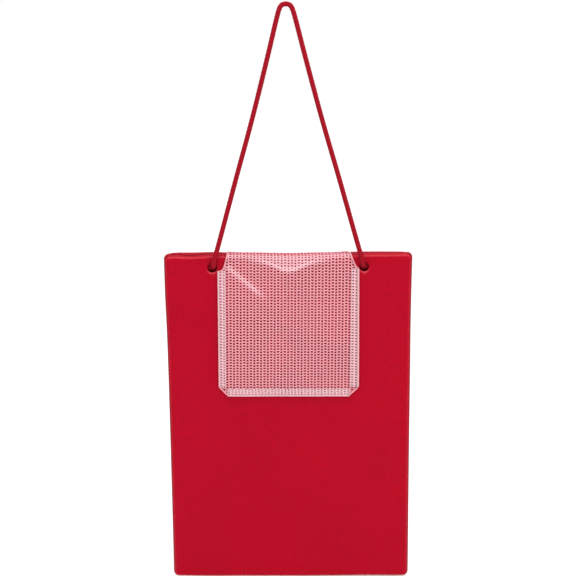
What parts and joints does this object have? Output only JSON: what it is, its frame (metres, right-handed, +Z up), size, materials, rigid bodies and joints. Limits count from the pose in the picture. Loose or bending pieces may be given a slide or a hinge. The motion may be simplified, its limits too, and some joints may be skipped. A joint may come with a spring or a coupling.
{
  "type": "flat hanging pouch with net flap",
  "caption": "Slim flat pouch, open at the top, with a net flap over its mouth, hung by a braided cord knotted through holes in its front lip.",
  "frame": {"origin": "the underside of the cord's top bend, where the loop rests on a hook", "axes": "+Z up, -Y towards the front with the flap, +X to the right as seen from the front; the pouch's middle plane is Y = 0"},
  "size_m": [0.2314, 0.0204, 0.556],
  "materials": {
    "coated_fabric": "smooth red coated fabric with a fine grain, semi-gloss",
    "cord": "braided round textile cord, dark red",
    "board": "plain grey fibreboard, matt, sealed between sheets",
    "lining": "plain red woven lining, matt",
    "net": "coated white net, translucent, slight sheen",
    "red_thread": "red sewing thread",
    "white_thread": "white sewing thread"
  },
  "bodies": {
    "cord": {"hanging_cord": "cord", "left_cord_knot": "cord", "right_cord_knot": "cord"},
    "pouch": {"front_panel": "coated_fabric", "front_stiffener": "board", "front_lip_facing": "coated_fabric", "front_lining": "lining", "back_panel": "coated_fabric", "back_stiffener": "board", "back_lip_facing": "coated_fabric", "back_lining": "lining", "edge_strip": "coated_fabric", "front_seam_thread": "red_thread", "back_seam_thread": "red_thread", "flap_anchor": "net", "anchor_thread": "white_thread"},
    "neck": {"flap_neck": "net"},
    "flap": {"flap_front": "net", "left_hem": "net", "right_hem": "net", "bottom_hem": "net", "left_hem_thread": "white_thread", "right_hem_thread": "white_thread", "bottom_hem_thread": "white_thread"}
  },
  "joints": [
    {"name": "pouch_swing", "type": "hinge", "parent": "cord", "child": "pouch", "pos_m": [0, 0, -0.2415], "axis": [-1, 0, 0], "range_deg": [-40, 60], "deforming": ["hanging_cord"]},
    {"name": "neck_lift", "type": "hinge", "parent": "pouch", "child": "neck", "pos_m": [0, 0.007, -0.2287], "axis": [-1, 0, 0], "range_deg": [0, 30]},
    {"name": "flap_fold", "type": "hinge", "parent": "neck", "child": "flap", "pos_m": [0, -0.0081, -0.2287], "axis": [-1, 0, 0], "range_deg": [0, 100]}
  ],
  "couplings": [
    {"joint": "neck_lift", "follows": "flap_fold", "ratio": 0.3}
  ]
}
